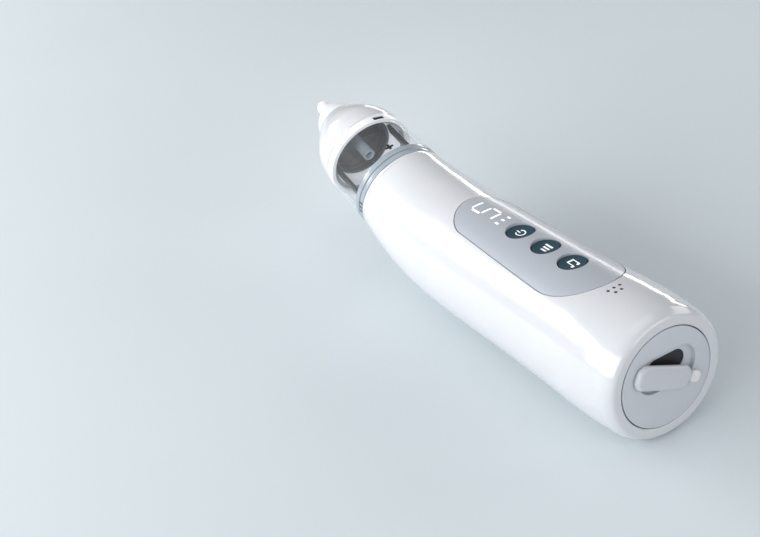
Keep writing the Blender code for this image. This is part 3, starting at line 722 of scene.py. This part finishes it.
def make_flap(paints):
    """The soft flap: a pillow-edged slab with a blind hole behind it, and its pull tab."""
    turn = Matrix.Rotation(FLAP_ANGLE, 4, "Z")
    pivot = butt_frame() @ Matrix.Translation(Vector((*FLAP_PIVOT, 0.0)) * MM)
    matrix = pivot @ turn
    middle = FLAP_SIZE[0] / 2 - FLAP_LEFT_REACH

    def level(inset):
        size = (FLAP_SIZE[0] - 2 * inset, FLAP_SIZE[1] - 2 * inset)
        return rounded_rectangle(size, max(2.9 - inset, 0.4), (middle, 0.0))

    levels = [(level(0.35), FLAP_BACK), (level(0.1), FLAP_BACK + 0.1), (level(0.0), FLAP_BACK + 0.3)]
    edge = 1.25
    for step in range(1, 9):
        angle = math.radians(90.0 * step / 8)
        levels.append((level(edge * (1.0 - math.cos(angle))),
                       FLAP_FRONT - edge * (1.0 - math.sin(angle))))
    flap = stacked("flap_pad", levels, paints["cap_gray"], matrix)
    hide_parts("port_flap")
    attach(flap, "flap")

    start = FLAP_SIZE[0] - FLAP_LEFT_REACH + 0.1

    def tab_level(inset):
        return rounded_rectangle((3.9 - 2 * inset, 3.5 - 2 * inset), max(1.4 - inset, 0.3),
                                 (start + 1.95, 0.2))

    tab_levels = [(tab_level(0.15), FLAP_BACK), (tab_level(0.0), FLAP_BACK + 0.15)]
    for step in range(1, 7):
        angle = math.radians(90.0 * step / 6)
        tab_levels.append((tab_level(0.6 * (1.0 - math.cos(angle))),
                           1.5 - 0.6 * (1.0 - math.sin(angle))))
    tab = stacked("pull_tab", tab_levels, paints["soft_white"], matrix)
    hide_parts("flap_tab")
    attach(tab, "flap")


# ---------------------------------------------------------------- head

def head_block(name, azimuth, radii, stations, width, surface):
    """A slab on the head's wall at an azimuth from the panel side: used to cut and to fill."""
    turn = Matrix.Rotation(math.radians(azimuth), 4, "Z")
    low, high = radii
    outline = [(width / 2, low), (width / 2, high), (-width / 2, high), (-width / 2, low)]
    levels = [(outline, stations[0] - HEAD_STATION), (outline, stations[1] - HEAD_STATION)]
    return stacked(name, levels, surface, axis_frame(HEAD_STATION) @ turn)


def ring_outline(span, far_radius):
    """Closed outline of a neck ring whose outside runs to a radius at its far edge."""
    return [(RING_BORE, span[0]), (RING_RADIUS, span[0]), (far_radius, span[1]), (RING_BORE, span[1])]


def make_head(paints):
    seal = turned("seal_ring", ring_outline(SEAL_RING, RING_RADIUS), paints["smoke_ring"],
                  soften=0.35)
    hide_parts("neck_seal")
    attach(seal, "handle")
    collar = turned("collar_ring", ring_outline(COLLAR_RING, RING_RADIUS - 0.05),
                    paints["smoke_ring"], soften=0.35)
    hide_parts("lock_collar")
    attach(collar, "collar")
    floor_top = CUP_START + 1.4
    cup_outline = [(2.2, CUP_START), (11.4, CUP_START), (11.4, 134.8), (12.6, 134.8),
                   (12.6, CUP_START), (16.5, CUP_START), (16.35, 144.0), (16.15, 150.0),
                   (16.05, CUP_RIM), (14.65, CUP_RIM), (14.9, 144.0), (13.9, floor_top),
                   (2.2, floor_top)]
    cup = turned("cup_wall", cup_outline, paints["clear_plastic"], soften=0.4)
    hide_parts("collecting_cup")
    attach(cup, "cup")
    make_grip_ribs(paints)
    make_lock_mark(paints)
    make_cone(paints)
    make_tip(paints)


def make_grip_ribs(paints):
    """Three short dark ribs on the seal ring's left side."""
    for number, azimuth in enumerate(RIB_AZIMUTHS, 1):
        rib = head_block(f"grip_rib_{number}", azimuth, (16.2, 16.66), (134.0, 135.5), 0.6,
                         paints["leg_gray"])
        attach(rib, "handle")


def make_lock_mark(paints):
    """The small cross on the cup's foot that lines up with the collar."""
    dark = paints["leg_gray"]
    mark = head_block("lock_mark", MARK_AZIMUTH, MARK_RADII, (138.9, 141.2), 0.8, dark)
    boolean(mark, head_block("bar", MARK_AZIMUTH, MARK_RADII, (139.6, 140.2), 3.0, dark), "UNION")
    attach(mark, "cup")


def make_cone(paints):
    first, last = CONE_OUTLINE[0][0], CONE_OUTLINE[-1][0]
    stations = [first + (last - first) * step / 32 for step in range(33)]
    outer = [(smooth_value(CONE_OUTLINE, station), station) for station in stations]
    outer[0] = (outer[0][0] - 0.15, first)
    outer.insert(1, (smooth_value(CONE_OUTLINE, first + 0.2), first + 0.2))
    inner = [(radius - 1.5, station) for station, radius in CONE_OUTLINE[:4]]
    inner += [(8.9, 171.6), (3.9, 173.3)]
    cone = turned("cone_dome", outer + [(3.9, last)] + inner[::-1], paints["white_plastic"])
    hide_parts("nozzle_cone")
    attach(cone, "cone")
    # The lip band carries a painted glow, an emission that stands in for light shining through it.
    white = paints["lip_white_painted_glow"]
    band_outline = [(RING_BORE, LIP_START), (16.05, LIP_START), (15.9, LIP_END), (14.0, LIP_END),
                    (14.0, SHELF[1]), (11.2, SHELF[1]), (11.2, SHELF[0]), (13.1, SHELF[0]),
                    (13.1, 156.2), (RING_BORE, 156.2)]
    ring = turned("lip_band", band_outline, white, soften=0.25)
    boolean(ring, head_block("slot", SLOT_AZIMUTH, (15.2, 17.0), (154.5, 156.3), 4.4, white))
    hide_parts("cone_ring")
    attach(ring, "cone")
    catch = head_block("lip_catch", SLOT_AZIMUTH, (15.25, 15.60), (154.55, 156.25), 4.3,
                       paints["leg_gray"])
    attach(catch, "cone")
    cuff = turned("lip_cuff", [(13.15, 156.14), (14.45, 156.14), (14.45, 155.9), (13.15, 155.9)],
                  paints["smoke_ring"])
    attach(cuff, "cone")
    flange = SHELF[1] + GAP
    plug_floor = PLUG_END - 1.2
    plug_outline = [(10.1, PLUG_MOUTH), (10.9, PLUG_MOUTH), (10.9, flange), (13.2, flange),
                    (13.2, flange + 1.0), (10.9, flange + 1.0), (10.9, PLUG_END), (2.4, PLUG_END),
                    (2.4, plug_floor), (10.1, plug_floor)]
    plug = turned("plug_cup", plug_outline, paints["plug_gray"], soften=0.25)
    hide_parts("cone_plug")
    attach(plug, "cone")
    make_plug_detail(paints)
    bore, outside = TUBE_RADII
    mouth, end = TUBE_SPAN
    tube = turned("tube_pipe", [(bore, mouth), (outside, mouth), (outside, end), (bore, end)],
                  paints["tube_gray"], 64, soften=0.2)
    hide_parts("suction_tube")
    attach(tube, "cone")
    for number, azimuth in enumerate(LEG_AZIMUTHS, 1):
        leg = head_block(f"leg_bar_{number}", azimuth, LEG_RADII, LEG_SPAN, LEG_WIDTH,
                         paints["leg_gray"])
        soften_edges(leg, 0.25)
        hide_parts(f"cone_leg_{number}")
        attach(leg, "cone")


def make_plug_detail(paints):
    """Two dark grooved bands inside the plug's mouth and the fins behind the tube."""
    for number, station in enumerate((161.2, 162.8), 1):
        band = turned(f"mouth_band_{number}", [(9.65, station), (10.05, station), (10.05, station + 0.8),
                                               (9.65, station + 0.8)], paints["leg_gray"])
        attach(band, "cone")
    for number, azimuth in enumerate((90.0, -90.0), 1):
        fin = head_block(f"plug_fin_{number}", azimuth, (2.6, 9.9), (164.4, 166.7), 0.9,
                         paints["leg_gray"])
        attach(fin, "cone")


def make_tip(paints):
    first, last = TIP_OUTLINE[0][0], TIP_OUTLINE[-1][0]
    outline = [(8.15, first), (8.42, first + 0.12)]
    for step in range(1, 29):
        station = first + 0.3 + (last - first - 0.3) * step / 28
        outline.append((smooth_value(TIP_OUTLINE, station), station))
    for step in range(1, 15):
        angle = math.radians(-30.0 + 92.0 * step / 14)
        outline.append((TIP_BALL_RADIUS * math.cos(angle),
                        TIP_BALL_STATION + TIP_BALL_RADIUS * math.sin(angle)))
    outline += [(1.0, outline[-1][1] - 0.1), (1.0, 178.6), (2.4, 178.3), (2.4, 173.6), (3.6, 173.6),
                (3.6, first)]
    tip = turned("soft_tip", outline, paints["soft_white"], 96)
    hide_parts("nozzle_tip")
    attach(tip, "tip")


# ---------------------------------------------------------------- carried-over parts, stage, light, camera

def dress_frame(paints):
    """Give each CAD node that is kept its slot's finished material."""
    for entry in frame["record"]["subparts"]:
        node = frame["nodes"][entry["node"]]
        node.data.materials.clear()
        node.data.materials.append(paints[entry["material_slot"]])


def make_floor():
    bm = bmesh.new()
    bmesh.ops.create_grid(bm, x_segments=2, y_segments=2, size=3000.0)
    nodes = Nodes("floor")
    nodes.link(nodes.ramp(nodes.noise(6.0), (0.60, 0.66, 0.69), (0.62, 0.68, 0.71)), "Base Color")
    nodes.put(Roughness=0.75)
    floor = finish_mesh(bm, "floor", nodes.material)


def hang_light(light, spot, aim):
    """Put a light at a spot, turned to shine at its aim."""
    made = bpy.data.objects.new(light.name, light)
    made.location = spot
    made.rotation_euler = (Vector(aim) - Vector(spot)).to_track_quat("-Z", "Y").to_euler()
    bpy.context.collection.objects.link(made)


def add_softbox(name, spot, aim, size, power):
    light = bpy.data.lights.new(name, "AREA")
    light.shape = "RECTANGLE"
    light.size, light.size_y = size
    light.energy = power
    hang_light(light, spot, aim)


def add_spotlight(name, spot, aim, cone, power):
    light = bpy.data.lights.new(name, "SPOT")
    light.spot_size = math.radians(cone)
    light.spot_blend = 0.9
    light.shadow_soft_size = 0.05
    light.energy = power
    hang_light(light, spot, aim)


def make_light():
    world = bpy.data.worlds.new("studio")
    world.use_nodes = True
    background = world.node_tree.nodes["Background"]
    background.inputs["Color"].default_value = (0.82, 0.86, 0.90, 1.0)
    background.inputs["Strength"].default_value = 0.24
    bpy.context.scene.world = world
    bpy.context.scene.view_settings.view_transform = "Standard"
    add_softbox("left_box", (-0.75, -0.05, 0.30), (0.0, 0.0, 0.02), (1.2, 0.45), 7.5)
    add_softbox("fill_box", (0.25, -0.85, 0.40), (0.0, -0.05, 0.02), (0.8, 0.4), 2.4)
    add_softbox("top_box", (0.05, 0.0, 1.1), (0.0, 0.0, 0.0), (0.8, 0.8), 1.6)
    add_softbox("shine_box", (-0.45, 0.78, 0.42), (0.0, 0.0, 0.03), (0.75, 0.30), 5.0)
    add_softbox("right_box", (0.90, -0.10, 0.42), (0.0, 0.0, 0.02), (0.9, 0.4), 2.6)
    add_spotlight("head_spot", (-0.25, -0.25, 0.33), (0.0, 0.062, 0.036), 15.0, 3.5)
    add_softbox("rim_box", (0.90, 0.75, 0.16), (0.0, 0.0, 0.03), (0.8, 0.12), 2.0)


def make_camera():
    target = Vector((-0.02742, 0.01390, 0.020))
    distance = 0.460
    azimuth, elevation, roll = (math.radians(value) for value in (26.46, 30.68, -9.68))
    ahead = Vector((math.sin(azimuth) * math.cos(elevation), math.cos(azimuth) * math.cos(elevation),
                    -math.sin(elevation)))
    camera = bpy.data.objects.new("camera", bpy.data.cameras.new("camera"))
    camera.data.lens = 68.1
    camera.data.sensor_width = 36.0
    camera.data.clip_start = 0.01
    turn = ahead.to_track_quat("-Z", "Y").to_matrix() @ Matrix.Rotation(roll, 3, "Z")
    camera.matrix_world = Matrix.Translation(target - ahead * distance) @ turn.to_4x4()
    bpy.context.collection.objects.link(camera)
    bpy.context.scene.camera = camera


def main():
    paints = make_materials()
    dress_frame(paints)
    make_shell(paints)
    make_lens(paints)
    make_digit(paints)
    make_buttons(paints)
    make_speaker_shade(paints)
    make_end_cap(paints)
    make_flap(paints)
    make_head(paints)
    make_floor()
    make_light()
    make_camera()


main()
